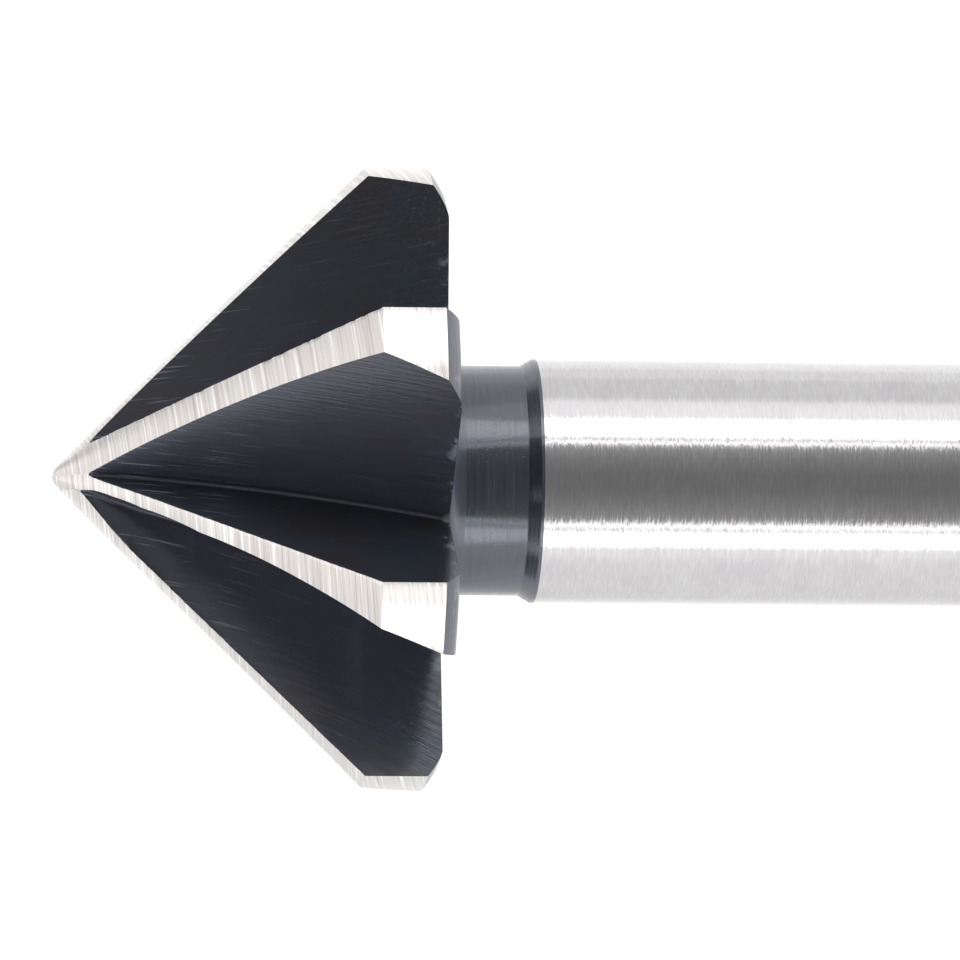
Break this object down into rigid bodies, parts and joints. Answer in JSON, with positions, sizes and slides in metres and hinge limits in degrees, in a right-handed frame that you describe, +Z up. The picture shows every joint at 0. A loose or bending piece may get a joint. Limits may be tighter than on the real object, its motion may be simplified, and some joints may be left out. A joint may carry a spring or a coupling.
{
  "type": "countersink bit",
  "caption": "Conical fluted cutter head with a 90 degree point, a short relieved neck and a plain round shank, in one piece.",
  "frame": {"origin": "on the surface the bit lies on, under the middle of its bounding box", "axes": "+Z up as the bit lies at rest on two teeth and the rim of its shank; +X from the point towards the shank's end, whose axis runs 6.5 degrees downhill"},
  "size_m": [0.0628, 0.0204, 0.0201],
  "materials": {
    "high_speed_steel": "ground bright on the lands and the shank, black oxide in the flutes and on the neck"
  },
  "bodies": {
    "root": {"countersink_bit": "high_speed_steel"}
  },
  "joints": []
}
